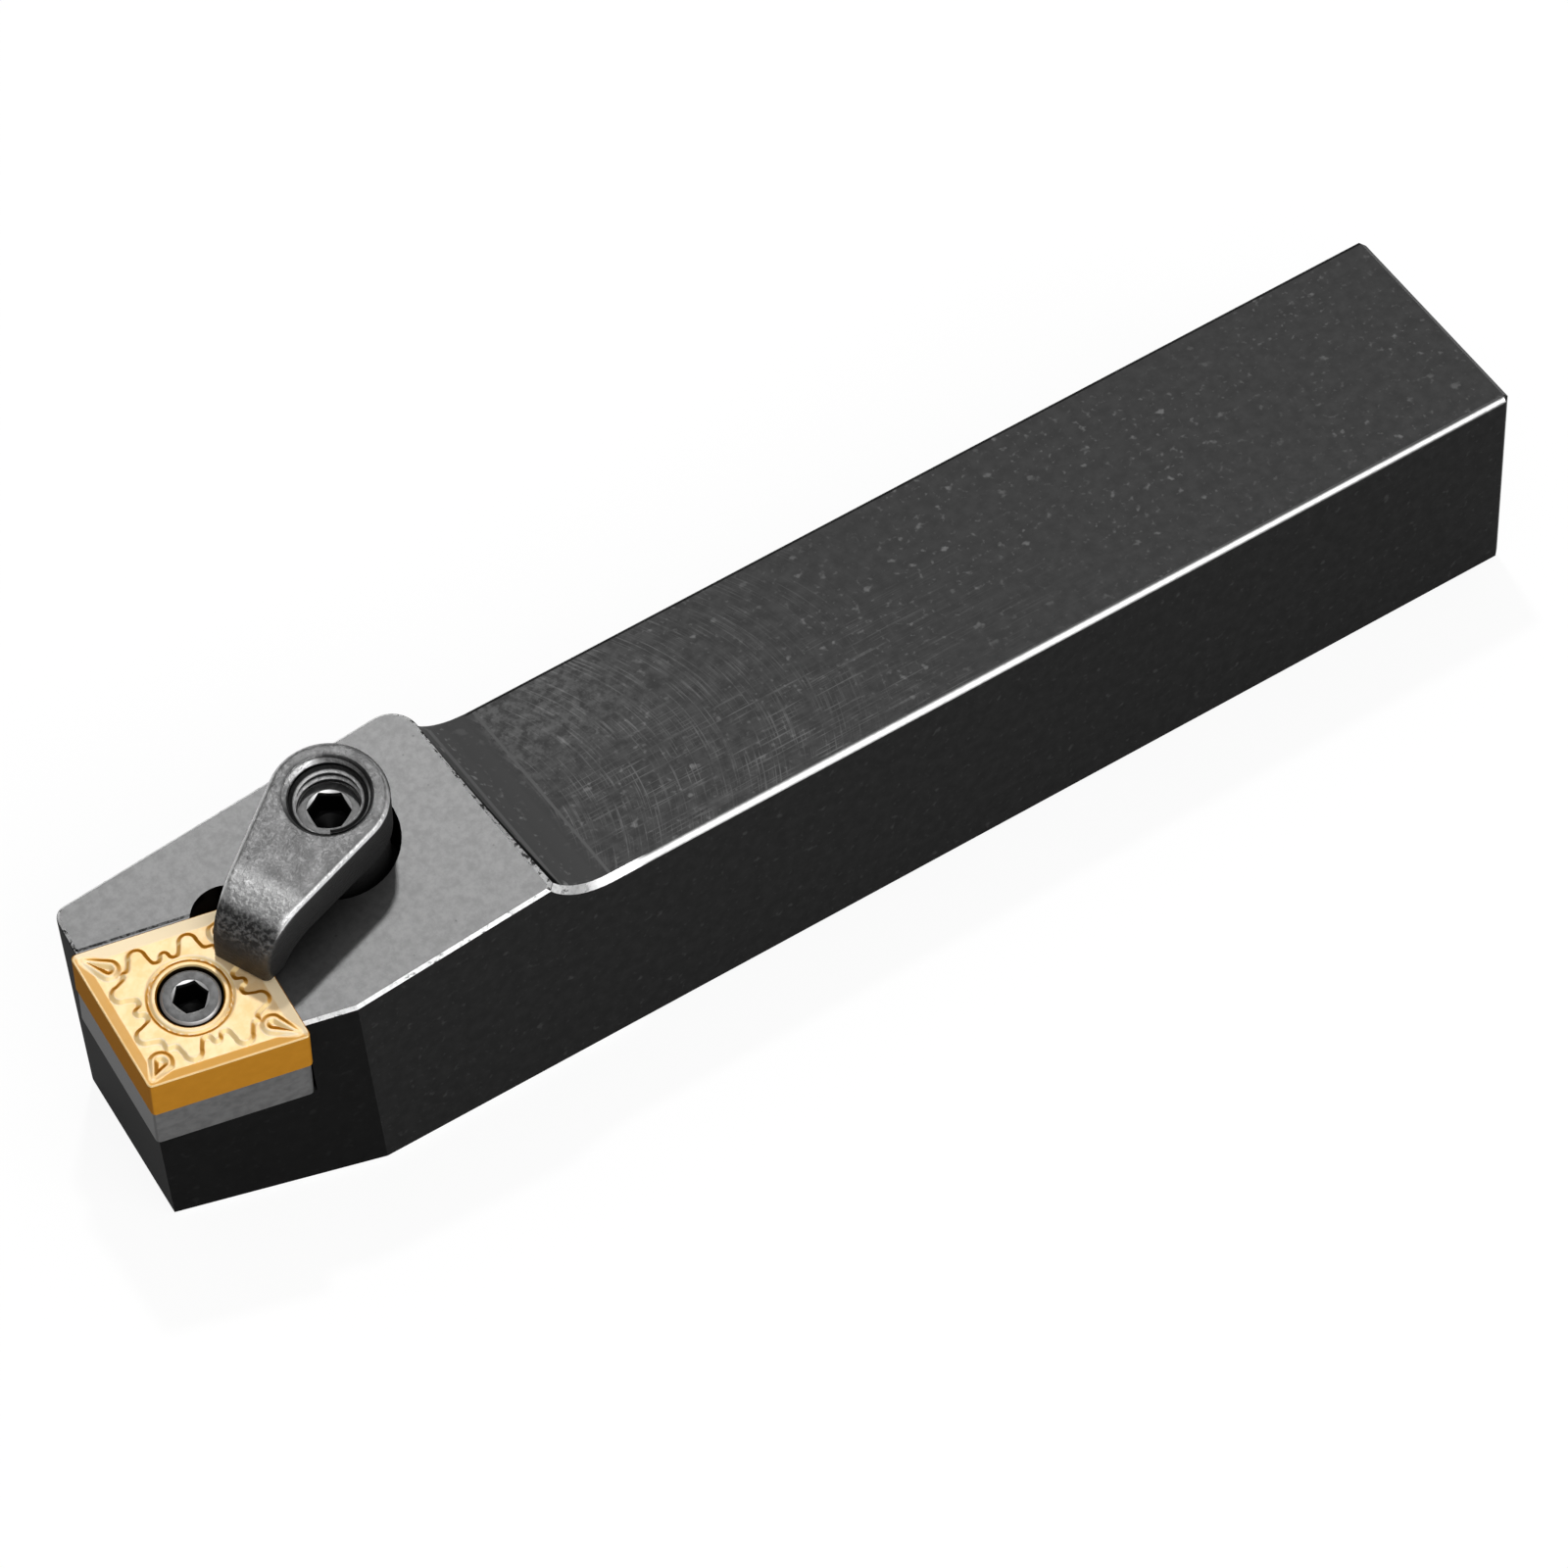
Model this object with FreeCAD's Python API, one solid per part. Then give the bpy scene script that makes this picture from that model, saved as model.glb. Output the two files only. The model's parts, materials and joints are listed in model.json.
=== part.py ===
"""Right-hand indexable turning tool holder with a 20 x 20 mm shank.

Frame: millimetres, +Z up. The origin is on the bottom face of the shank, midway along the
holder and midway across it. +X runs from the cutting end to the back end, -Y is the side that
the main cutting edge faces.
"""
import FreeCAD, Part
import math
import os
from FreeCAD import Vector

# shank and overall sizes
overall_length = 125.0        # cutting corner to back end
shank_width = 20.0
shank_height = 20.0
corner_offset = 17.0          # cutting corner to the far side of the shank
corner_height = 20.0          # cutting corner above the bottom face
long_edge_chamfer = 0.5       # also round the bottom and the back end

# head: its top is parallel to the tilted insert, its two relief faces lean inwards
head_length = 39.8            # cutting corner to where the head runs into the shank top
head_runout_radius = 6.3
head_blank_extra = 8.0        # height left above the shank before the head top is milled
side_relief_plan = 16.0       # degrees from the shank's length
side_relief_start = 18.7      # cutting corner to where it leaves the bottom edge
side_relief_lean = 1.5        # degrees from upright
end_relief_plan = 6.2         # degrees from square across
end_relief_start = 3.95       # cutting corner to the end face, at the bottom far edge
end_relief_lean = 4.9
far_corner_radius = 1.2       # between the end relief and the far side
head_back_radius = 2.5        # between the far side and the top of the run-out
head_edge_chamfer = 0.25      # round the head's top

# insert: negative 80 degree rhombus, its 100 degree corner cuts
tilt_back = 6.0               # degrees that the seat rises towards the back end
tilt_across = 8.0             # degrees that the seat rises towards the far side
lead_angle = 15.0             # degrees from the main cutting edge to the shank's length
insert_angle = 80.0
insert_circle = 12.7          # diameter of the inscribed circle
insert_thickness = 4.76
insert_corner_radius = 0.4
insert_bore = 5.16
insert_proud = 0.55           # insert's top above the head's top

# chip breaker pressed into both faces: a floor behind the edges, and inside it a plateau whose
# lobes reach towards the edges, with a drop in each corner
edge_land = 0.22
breaker_slope = 0.75
breaker_depth = 0.28
breaker_rise = 0.3            # run of each wall that rises from the floor
plateau_inset = 2.9           # cutting edge to the plateau
lobe_inset = 1.35             # cutting edge to a lobe's tip
lobe_from_narrow = 4.75       # along the edge, narrow corner to the first lobe
lobe_from_wide = 4.1          # along the edge, wide corner to the second lobe
lobe_tip_radius = 0.5
lobe_root_radius = 1.1
tooth_inset = 2.25            # cutting edge to the tip of the tooth midway between the lobes
tooth_tip_radius = 0.15
tooth_root_radius = 0.4
narrow_drop_start = 1.05      # corner to the tip of its drop
narrow_drop_length = 2.75
narrow_drop_radius = 0.62
wide_drop_start = 0.85
wide_drop_length = 2.2
wide_drop_radius = 0.72
drop_tip_radius = 0.12
drop_low = 0.06               # top of a drop below the cutting edge

# shim and lock pin
shim_thickness = 4.76
shim_corner_radius = 0.4
shim_circle = 12.5
pocket_gap = 0.05             # pocket wall to the insert's side
corner_drill = 5.7            # clears the insert's hidden corner
corner_drill_inset = 1.5      # its centre lies this far inside that corner
pin_head_gap = 0.23           # radial, in the insert's bore
pin_gap = 0.05                # radial, in the shim and the body
pin_top_below = 0.12
pin_rim_chamfer = 0.2
pin_collar = 7.2
pin_collar_height = 0.9
pin_collar_low = 0.1          # collar's top below the insert
pin_thread = 6.0
pin_thread_depth = 6.8
pin_hole_spare = 1.2          # hole below the pin's lower end
pin_socket = 2.5              # across flats
pin_socket_depth = 3.2

# clamp and its screw, which stand square to the insert's top
clamp_post_along = 14.4       # insert centre to the screw's axis, along the main edge
clamp_post_across = 9.4       # and square to the main edge
clamp_turn = 40.0             # degrees from the main edge to the arm, seen from above
clamp_boss = 9.5
clamp_lower_boss = 8.8
clamp_height = 6.4            # top of the boss above the insert
clamp_reach = 13.2            # screw's axis to the clamp's tip
clamp_tip_width = 4.9
clamp_foot = 1.8              # length of the flat that presses on the insert
clamp_tip_gap = 0.05
clamp_arch = 1.9              # underside of the arm above the insert
clamp_arch_end = 8.2          # screw's axis to where the arch comes down to the foot
clamp_nose_start = 8.8        # screw's axis to where the top turns down
clamp_edge_radius = 0.6
clamp_boss_depth = 5.0        # the lower boss reaches this far below the insert's top
recess_gap = 0.9              # radial, round the lower boss
recess_depth = 7.5            # below the insert's top
screw_size = 6.0
screw_gap = 0.05
screw_below_boss = 2.3
screw_length = 20.0
screw_end_chamfer = 0.5
screw_neck = 4.7
screw_neck_length = 1.6
screw_socket = 3.0            # across flats
screw_socket_depth = 3.0
screw_hole_spare = 2.0        # hole below the screw's lower end
clamp_mouth = 7.1

# an edge lies on a plane or runs square to an axis when it is within this distance of it
touching = 1e-4


def tan(degrees):
    return math.tan(math.radians(degrees))


def seat_frame():
    """Placement of the insert seat: x along the main edge, y towards the far side, z out."""
    out = Vector(-tan(tilt_back), -tan(tilt_across), 1.0).normalize()
    plan = Vector(math.cos(math.radians(lead_angle)), -math.sin(math.radians(lead_angle)), 0.0)
    plan.z = tan(tilt_back) * plan.x + tan(tilt_across) * plan.y
    edge = plan.normalize()
    across = out.cross(edge)
    matrix = FreeCAD.Matrix(edge.x, across.x, out.x, 0.0,
                            edge.y, across.y, out.y, 0.0,
                            edge.z, across.z, out.z, 0.0,
                            0.0, 0.0, 0.0, 1.0)
    corner = cutting_corner()
    local_corner = rhombus_corners(insert_circle)[0][0]
    turned = FreeCAD.Placement(matrix)
    return FreeCAD.Placement(corner - turned.multVec(local_corner), turned.Rotation)


def cutting_corner():
    return Vector(-overall_length / 2.0, shank_width / 2.0 - corner_offset, corner_height)


def rhombus_corners(circle):
    """Corner points and inner angles of the rhombus round this circle, cutting corner first."""
    half_height = circle / 2.0
    half_edge = half_height / math.sin(math.radians(insert_angle))
    skew = half_height / tan(insert_angle)
    wide = 180.0 - insert_angle
    return [(Vector(-half_edge + skew, -half_height, 0.0), wide),
            (Vector(half_edge + skew, -half_height, 0.0), insert_angle),
            (Vector(half_edge - skew, half_height, 0.0), wide),
            (Vector(-half_edge - skew, half_height, 0.0), insert_angle)]


def rhombus_wire(circle, radius, height):
    """Rhombus with rounded corners at one height."""
    corners = rhombus_corners(circle)
    joints = []
    for index, (point, angle) in enumerate(corners):
        before = (corners[index - 1][0] - point).normalize()
        after = (corners[(index + 1) % 4][0] - point).normalize()
        half = math.radians(angle / 2.0)
        middle = (before + after).normalize()
        joints.append((point + before * (radius / math.tan(half)),
                       point + middle * (radius / math.sin(half) - radius),
                       point + after * (radius / math.tan(half))))
    edges = []
    for index, (start, middle, end) in enumerate(joints):
        lift = Vector(0.0, 0.0, height)
        edges.append(Part.Arc(start + lift, middle + lift, end + lift).toShape())
        next_start = joints[(index + 1) % 4][0]
        edges.append(Part.LineSegment(end + lift, next_start + lift).toShape())
    return Part.Wire(edges)


def rhombus_prism(circle, radius, low, high):
    return Part.Face(rhombus_wire(circle, radius, low)).extrude(Vector(0.0, 0.0, high - low))


def rhombus_taper(low_circle, low, high_circle, high, radius):
    wires = [rhombus_wire(low_circle, radius, low), rhombus_wire(high_circle, radius, high)]
    return Part.makeLoft(wires, True, True)


def upright_cylinder(diameter, low, high, x=0.0, y=0.0):
    return Part.makeCylinder(diameter / 2.0, high - low, Vector(x, y, low))


def hexagon(flats, low, high):
    reach = flats / math.sqrt(3.0)
    points = [Vector(reach * math.cos(math.radians(60.0 * k)), reach * math.sin(math.radians(60.0 * k)), low)
              for k in range(7)]
    return Part.Face(Part.makePolygon(points)).extrude(Vector(0.0, 0.0, high - low))


def socket(flats, depth, top):
    """Hexagon socket with a countersunk mouth, in a top face at this height."""
    mouth = flats / math.sqrt(3.0)
    countersink = turned([(0.0, top + 1.0), (mouth + 1.0, top + 1.0), (0.0, top - mouth)])
    return hexagon(flats, top - depth, top + 1.0).fuse(countersink)


def turned(profile):
    """Solid of revolution about z from (radius, height) points."""
    points = [Vector(radius, 0.0, height) for radius, height in profile]
    face = Part.Face(Part.makePolygon(points + [points[0]]))
    return face.revolve(Vector(0, 0, 0), Vector(0, 0, 1), 360)


def clamp_frame():
    """Placement, in the seat's frame, of the clamp: x along its arm, z up the screw."""
    where = Vector(clamp_post_along, clamp_post_across, 0.0)
    return FreeCAD.Placement(where, FreeCAD.Rotation(Vector(0, 0, 1), 180.0 + clamp_turn))


def tapered_bar(tip, root, tip_radius, root_radius, low, high):
    """Bar with round ends whose walls lean in from the breaker's floor to its top."""
    axis = root - tip
    turn = math.atan2(axis.y, axis.x)
    open_angle = math.acos((tip_radius - root_radius) / axis.Length)
    wires = []
    for height, grow in ((low, breaker_rise), (high, 0.0)):
        ends = []
        for centre, radius in ((tip, tip_radius + grow), (root, root_radius + grow)):
            ends.append([centre + Vector(radius * math.cos(angle), radius * math.sin(angle), height)
                         for angle in (turn + open_angle, turn + math.pi, turn - open_angle, turn)])
        (left, outer, right, _), (root_left, _, root_right, inner) = ends
        wires.append(Part.Wire([Part.Arc(left, outer, right).toShape(),
                                Part.LineSegment(right, root_right).toShape(),
                                Part.Arc(root_right, inner, root_left).toShape(),
                                Part.LineSegment(root_left, left).toShape()]))
    return Part.makeLoft(wires, True, True)


def plateau_lobes():
    """Two lobes and a tooth between them, reaching from the plateau towards each cutting edge."""
    corners = [point for point, angle in rhombus_corners(insert_circle)]
    lobes = []
    for narrow in (1, 3):
        for wide in (0, 2):
            along = (corners[wide] - corners[narrow]).normalize()
            edge_length = (corners[wide] - corners[narrow]).Length
            inwards = Vector(-along.y, along.x, 0.0)
            if inwards.dot(corners[narrow]) > 0.0:
                inwards = inwards * -1.0
            second = edge_length - lobe_from_wide
            middle = (lobe_from_narrow + second) / 2.0
            for distance, inset, tip_radius, root_radius in (
                    (lobe_from_narrow, lobe_inset, lobe_tip_radius, lobe_root_radius),
                    (second, lobe_inset, lobe_tip_radius, lobe_root_radius),
                    (middle, tooth_inset, tooth_tip_radius, tooth_root_radius)):
                foot = corners[narrow] + along * distance
                tip = foot + inwards * (inset + tip_radius)
                root = foot + inwards * (plateau_inset + root_radius / 2.0)
                lobes.append(tapered_bar(tip, root, tip_radius, root_radius, -breaker_depth, 0.0))
    return lobes


def corner_drops():
    """A drop in each corner, pointed towards the corner, just below the cutting edge."""
    drops = []
    sizes = {True: (narrow_drop_start, narrow_drop_length, narrow_drop_radius),
             False: (wide_drop_start, wide_drop_length, wide_drop_radius)}
    for point, angle in rhombus_corners(insert_circle):
        start, length, radius = sizes[angle < 90.0]
        inwards = (point * -1.0).normalize()
        tip = point + inwards * (start + drop_tip_radius)
        root = point + inwards * (start + length - radius)
        drops.append(tapered_bar(tip, root, drop_tip_radius, radius, -breaker_depth, -drop_low))
    return drops


def chip_breaker():
    """Space pressed into the top face at z = 0, behind the cutting edges and round the plateau."""
    trough = rhombus_taper(insert_circle - 2.0 * (edge_land + breaker_slope), -breaker_depth,
                           insert_circle - 2.0 * edge_land, 0.0, insert_corner_radius / 2.0)
    plateau = rhombus_taper(insert_circle - 2.0 * (plateau_inset - breaker_rise), -breaker_depth,
                            insert_circle - 2.0 * plateau_inset, 0.0, insert_corner_radius)
    for raised in [plateau] + plateau_lobes() + corner_drops():
        trough = trough.cut(raised)
    return trough


def make_insert():
    """Double-sided insert: both faces have the same chip breaker and share the bore."""
    body = rhombus_prism(insert_circle, insert_corner_radius, -insert_thickness, 0.0)
    body = body.cut(upright_cylinder(insert_bore, -insert_thickness - 1.0, 1.0))
    trough = chip_breaker()
    lower = trough.mirror(Vector(0, 0, -insert_thickness / 2.0), Vector(0, 0, 1))
    return body.cut(trough).cut(lower)


def make_shim():
    """Carbide plate under the insert, countersunk for the lock pin's collar."""
    top = -insert_thickness
    plate = rhombus_prism(shim_circle, shim_corner_radius, top - shim_thickness, top)
    clear = pin_thread / 2.0 + pin_gap
    seat = pin_collar / 2.0 + pin_gap
    cone_end = top - pin_collar_height - (seat - clear)
    hole = turned([(0.0, top + 1.0), (seat, top + 1.0), (seat, top - pin_collar_height),
                   (clear, cone_end), (clear, top - shim_thickness - 1.0), (0.0, top - shim_thickness - 1.0)])
    return plate.cut(hole)


def make_lock_pin():
    """Pin through insert and shim: head in the insert's bore, collar in the shim, thread below."""
    head = insert_bore / 2.0 - pin_head_gap
    collar = pin_collar / 2.0
    thread = pin_thread / 2.0
    shim_top = -insert_thickness
    end = shim_top - shim_thickness - pin_thread_depth
    top = -pin_top_below
    pin = turned([(0.0, top), (head - pin_rim_chamfer, top), (head, top - pin_rim_chamfer),
                  (head, shim_top - pin_collar_low), (collar, shim_top - pin_collar_low),
                  (collar, shim_top - pin_collar_height), (thread, shim_top - pin_collar_height - (collar - thread)),
                  (thread, end + screw_end_chamfer), (thread - screw_end_chamfer, end), (0.0, end)])
    return pin.cut(socket(pin_socket, pin_socket_depth, top))


def clamp_outline():
    """The clamp seen from above: its boss, and an arm that narrows from it past the tip."""
    radius = clamp_boss / 2.0
    corner = Vector(clamp_reach, clamp_tip_width / 2.0, 0.0)
    angle = math.atan2(corner.y, corner.x) + math.acos(radius / corner.Length)
    tangent = Vector(radius * math.cos(angle), radius * math.sin(angle), 0.0)
    beyond = corner + (corner - tangent).normalize() * clamp_foot
    mirrored = [Vector(point.x, -point.y, 0.0) for point in (tangent, beyond)]
    edges = [Part.LineSegment(tangent, beyond).toShape(),
             Part.LineSegment(beyond, mirrored[1]).toShape(),
             Part.LineSegment(mirrored[1], mirrored[0]).toShape(),
             Part.Arc(mirrored[0], Vector(-radius, 0.0, 0.0), tangent).toShape()]
    return Part.Face(Part.Wire(edges))


def clamp_profile():
    """The clamp seen from its side: level top, round nose, and an arch behind the foot."""
    nose = clamp_reach - clamp_nose_start
    heel = clamp_reach - clamp_foot
    behind = -clamp_boss
    bend = math.radians(45.0)
    fall = clamp_arch - clamp_tip_gap
    run = heel - clamp_arch_end
    arch_radius = (run * run + fall * fall) / (2.0 * fall)
    half_turn = math.asin(run / arch_radius) / 2.0
    points = {"arch": (clamp_arch_end, clamp_arch),
              "arch_bow": (clamp_arch_end + arch_radius * math.sin(half_turn),
                           clamp_arch - arch_radius * (1.0 - math.cos(half_turn))),
              "heel": (heel, clamp_tip_gap),
              "toe": (clamp_reach, clamp_tip_gap),
              "nose_low": (clamp_reach, clamp_height - nose),
              "nose_bow": (clamp_nose_start + nose * math.sin(bend),
                           clamp_height - nose + nose * math.cos(bend)),
              "nose_high": (clamp_nose_start, clamp_height),
              "top_behind": (behind, clamp_height),
              "arch_behind": (behind, clamp_arch)}
    at = {name: Vector(x, 0.0, z) for name, (x, z) in points.items()}
    edges = [Part.LineSegment(at["arch_behind"], at["arch"]).toShape(),
             Part.Arc(at["arch"], at["arch_bow"], at["heel"]).toShape(),
             Part.LineSegment(at["heel"], at["toe"]).toShape(),
             Part.LineSegment(at["toe"], at["nose_low"]).toShape(),
             Part.Arc(at["nose_low"], at["nose_bow"], at["nose_high"]).toShape(),
             Part.LineSegment(at["nose_high"], at["top_behind"]).toShape(),
             Part.LineSegment(at["top_behind"], at["arch_behind"]).toShape()]
    return Part.Face(Part.Wire(edges))


def on_upper_rim(edge):
    """Whether an edge of the clamp runs along its top, its nose or the sides of its tip."""
    box = edge.BoundBox
    crosswise = box.XLength < touching and box.YLength > touching
    seam = box.XLength < touching and box.ZMax > clamp_height - touching
    underside = box.ZMax < clamp_arch + touching and box.XMin < clamp_reach - touching
    return not (crosswise or seam or underside)


def make_clamp():
    """Forged bridge clamp: threaded boss, arm bent down to a foot on the insert."""
    upright = clamp_outline().extrude(Vector(0.0, 0.0, clamp_height + 1.0))
    sideways = clamp_profile().extrude(Vector(0.0, 2.0 * clamp_boss, 0.0))
    sideways.translate(Vector(0.0, -clamp_boss, 0.0))
    clamp = upright.common(sideways)
    clamp = clamp.makeFillet(clamp_edge_radius, [edge for edge in clamp.Edges if on_upper_rim(edge)])
    clamp = clamp.fuse(upright_cylinder(clamp_lower_boss, -clamp_boss_depth, clamp_arch))
    bore = screw_size / 2.0 + screw_gap
    mouth = clamp_mouth / 2.0
    hole = turned([(0.0, clamp_height + 1.0), (mouth, clamp_height + 1.0), (mouth, clamp_height),
                   (bore, clamp_height - (mouth - bore)), (bore, -clamp_boss_depth - 1.0),
                   (0.0, -clamp_boss_depth - 1.0)])
    return clamp.cut(hole).removeSplitter()


def make_clamp_screw():
    """Double-ended screw: left-hand thread in the clamp, right-hand thread in the body."""
    top = clamp_height - screw_below_boss
    end = top - screw_length
    radius = screw_size / 2.0
    neck = screw_neck / 2.0
    middle = (top + end) / 2.0
    upper = middle + screw_neck_length / 2.0
    lower = middle - screw_neck_length / 2.0
    step = radius - neck
    screw = turned([(0.0, top), (radius - screw_end_chamfer, top), (radius, top - screw_end_chamfer),
                    (radius, upper + step), (neck, upper), (neck, lower), (radius, lower - step),
                    (radius, end + screw_end_chamfer), (radius - screw_end_chamfer, end), (0.0, end)])
    return screw.cut(socket(screw_socket, screw_socket_depth, top))


def shank_and_head():
    """Bar with the head standing above it, run out to the shank top by a round-nosed cutter."""
    front = -overall_length / 2.0
    back = overall_length / 2.0
    runout = front + head_length
    blank_top = shank_height + head_blank_extra
    bend = math.radians(45.0)
    centre = Vector(runout, 0, shank_height + head_runout_radius)
    wall = Vector(runout - head_runout_radius, 0, shank_height + head_runout_radius)
    bow = centre + Vector(-math.sin(bend), 0, -math.cos(bend)) * head_runout_radius
    corners = [Vector(front, 0, 0), Vector(back, 0, 0), Vector(back, 0, shank_height),
               Vector(runout, 0, shank_height)]
    edges = [Part.LineSegment(corners[k], corners[k + 1]).toShape() for k in range(3)]
    edges.append(Part.Arc(corners[3], bow, wall).toShape())
    high = Vector(wall.x, 0, blank_top)
    far = Vector(front, 0, blank_top)
    edges.append(Part.LineSegment(wall, high).toShape())
    edges.append(Part.LineSegment(high, far).toShape())
    edges.append(Part.LineSegment(far, corners[0]).toShape())
    face = Part.Face(Part.Wire(edges))
    face.translate(Vector(0, -shank_width / 2.0, 0))
    return face.extrude(Vector(0, shank_width, 0))


def relief_block(point, plan_direction, outwards, lean):
    """Block outside a relief face through a bottom line; the face leans outwards going up."""
    size = overall_length
    up = (outwards * tan(lean) + Vector(0, 0, 1)).normalize()
    out = plan_direction.cross(up)
    if out.dot(outwards) < 0:
        out = out * -1.0
    base = point - plan_direction * size - up * size
    corners = [base, base + plan_direction * 2.0 * size, base + plan_direction * 2.0 * size + up * 2.0 * size,
               base + up * 2.0 * size, base]
    return Part.Face(Part.makePolygon(corners)).extrude(out * size)


def relief_cuts():
    """The two faces that clear the work below the cutting edges."""
    front = -overall_length / 2.0
    near = -shank_width / 2.0
    side = math.radians(side_relief_plan)
    side_block = relief_block(Vector(front + side_relief_start, near, 0),
                              Vector(-math.cos(side), math.sin(side), 0),
                              Vector(-math.sin(side), -math.cos(side), 0), side_relief_lean)
    end = math.radians(end_relief_plan)
    end_block = relief_block(Vector(front + end_relief_start, -near, 0),
                             Vector(-math.sin(end), -math.cos(end), 0),
                             Vector(-math.cos(end), math.sin(end), 0), end_relief_lean)
    return side_block, end_block


def pocket():
    """Space for insert and shim, in the seat's frame: floor, two walls and the corner drilling."""
    floor = -insert_thickness - shim_thickness
    corners = [point for point, angle in rhombus_corners(insert_circle + 2.0 * pocket_gap)]
    near, hidden, far = corners[1:]
    outside = insert_circle
    along_wall = (far - hidden).normalize()
    along_side = (near - hidden).normalize()
    reach = 3.0 * outside
    points = [hidden, hidden + along_wall * reach, hidden + (along_wall + along_side) * reach,
              hidden + along_side * reach, hidden]
    for point in points:
        point.z = floor
    space = Part.Face(Part.makePolygon(points)).extrude(Vector(0, 0, outside))
    inwards = (hidden * -1.0).normalize() * corner_drill_inset
    drill = upright_cylinder(corner_drill, floor, outside, hidden.x + inwards.x, hidden.y + inwards.y)
    return space.fuse(drill)


def threaded_holes():
    """Holes of the lock pin and of the clamp screw, and the recess round the clamp's boss."""
    pin_floor = -insert_thickness - shim_thickness
    pin_end = pin_floor - pin_thread_depth - pin_hole_spare
    pin_hole = upright_cylinder(pin_thread + 2.0 * pin_gap, pin_end, pin_floor + 1.0)
    top = clamp_height - screw_below_boss
    hole = upright_cylinder(screw_size + 2.0 * screw_gap, top - screw_length - screw_hole_spare, clamp_height)
    recess = upright_cylinder(clamp_lower_boss + 2.0 * recess_gap, -recess_depth, clamp_height)
    post = hole.fuse(recess)
    post.Placement = clamp_frame()
    return pin_hole, post


def lies_on_side(edge, y=None):
    """Whether an edge lies in a side face of the bar, or in the one at this y."""
    box = edge.BoundBox
    flat = box.YLength < touching and abs(abs(box.YMin) - shank_width / 2.0) < touching
    return flat and (y is None or box.YMin * y > 0.0)


def round_far_corners(body):
    """Round the far side into the end relief, and into the top of the run-out."""
    corner = [edge for edge in body.Edges
              if lies_on_side(edge, 1.0) and edge.BoundBox.ZLength > shank_height / 2.0
              and edge.BoundBox.XMax < -overall_length / 2.0 + head_length]
    body = body.makeFillet(far_corner_radius, corner)
    runout = [edge for edge in body.Edges
              if lies_on_side(edge, 1.0) and isinstance(edge.Curve, Part.Circle)]
    return body.makeFillet(long_edge_chamfer, head_back_radius, runout)


def break_edges(body, seat):
    """Chamfer the long edges, the bottom, the back end and, finer, the rim of the head's top."""
    to_seat = seat.inverse()
    back = overall_length / 2.0
    long_edges = []
    for edge in body.Edges:
        box = edge.BoundBox
        on_back = box.XLength < touching and abs(box.XMin - back) < touching
        on_head_top = abs(to_seat.multVec(edge.CenterOfMass).z + insert_proud) < touching
        on_bottom = box.ZMax < touching
        along = lies_on_side(edge) and box.XLength > box.ZLength and not on_head_top
        if on_back or on_bottom or along:
            long_edges.append(edge)
    body = body.makeChamfer(long_edge_chamfer, long_edges)
    rim = [edge for edge in body.Edges
           if abs(to_seat.multVec(edge.CenterOfMass).z + insert_proud) < touching]
    return body.makeChamfer(head_edge_chamfer, rim)


def make_holder_body():
    """Shank and head in one piece of steel."""
    seat = seat_frame()
    body = shank_and_head()
    size = 2.0 * overall_length
    above = Part.makeBox(size, size, size, Vector(-size / 2.0, -size / 2.0, -insert_proud))
    above.Placement = seat
    body = body.cut(above)
    for block in relief_cuts():
        body = body.cut(block)
    body = break_edges(round_far_corners(body), seat)
    for tool in [pocket()] + list(threaded_holes()):
        tool.Placement = seat.multiply(tool.Placement)
        body = body.cut(tool)
    return body


def placed(shape, frame):
    shape.Placement = frame.multiply(shape.Placement)
    return shape


def build():
    seat = seat_frame()
    post = seat.multiply(clamp_frame())
    return {"holder_body": make_holder_body(),
            "shim": placed(make_shim(), seat),
            "insert": placed(make_insert(), seat),
            "lock_pin": placed(make_lock_pin(), seat),
            "clamp": placed(make_clamp(), post),
            "clamp_screw": placed(make_clamp_screw(), post)}


os.makedirs("parts", exist_ok=True)
for name, shape in build().items():
    box = shape.BoundBox
    print(name, "valid", shape.isValid(), "solids", len(shape.Solids), "volume", round(shape.Volume, 2),
          "from", [round(v, 2) for v in (box.XMin, box.YMin, box.ZMin)],
          "to", [round(v, 2) for v in (box.XMax, box.YMax, box.ZMax)])
    shape.exportStep(f"parts/{name}.step")
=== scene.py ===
import json
import math

import bmesh
import bpy
import numpy as np
from mathutils import Matrix, Vector


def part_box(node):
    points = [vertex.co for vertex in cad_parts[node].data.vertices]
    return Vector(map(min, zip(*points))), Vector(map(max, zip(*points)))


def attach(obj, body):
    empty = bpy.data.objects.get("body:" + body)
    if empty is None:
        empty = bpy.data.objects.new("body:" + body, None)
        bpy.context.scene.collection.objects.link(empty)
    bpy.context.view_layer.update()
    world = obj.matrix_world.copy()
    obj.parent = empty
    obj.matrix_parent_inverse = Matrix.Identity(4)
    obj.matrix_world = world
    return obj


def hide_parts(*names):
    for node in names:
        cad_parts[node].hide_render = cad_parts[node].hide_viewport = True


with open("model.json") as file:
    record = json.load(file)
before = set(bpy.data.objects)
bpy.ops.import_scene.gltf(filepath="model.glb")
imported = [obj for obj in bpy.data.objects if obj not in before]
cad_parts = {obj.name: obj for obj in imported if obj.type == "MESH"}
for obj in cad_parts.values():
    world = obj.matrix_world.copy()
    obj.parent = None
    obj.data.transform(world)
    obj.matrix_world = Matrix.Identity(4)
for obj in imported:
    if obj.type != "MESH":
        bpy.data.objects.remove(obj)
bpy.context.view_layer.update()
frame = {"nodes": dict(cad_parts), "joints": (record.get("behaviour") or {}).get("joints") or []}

# Camera. A long lens looks down on the holder from its cutting end, over the side that the
# main cutting edge faces, so that the shank runs away to the upper right.
mm = 0.001
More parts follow.
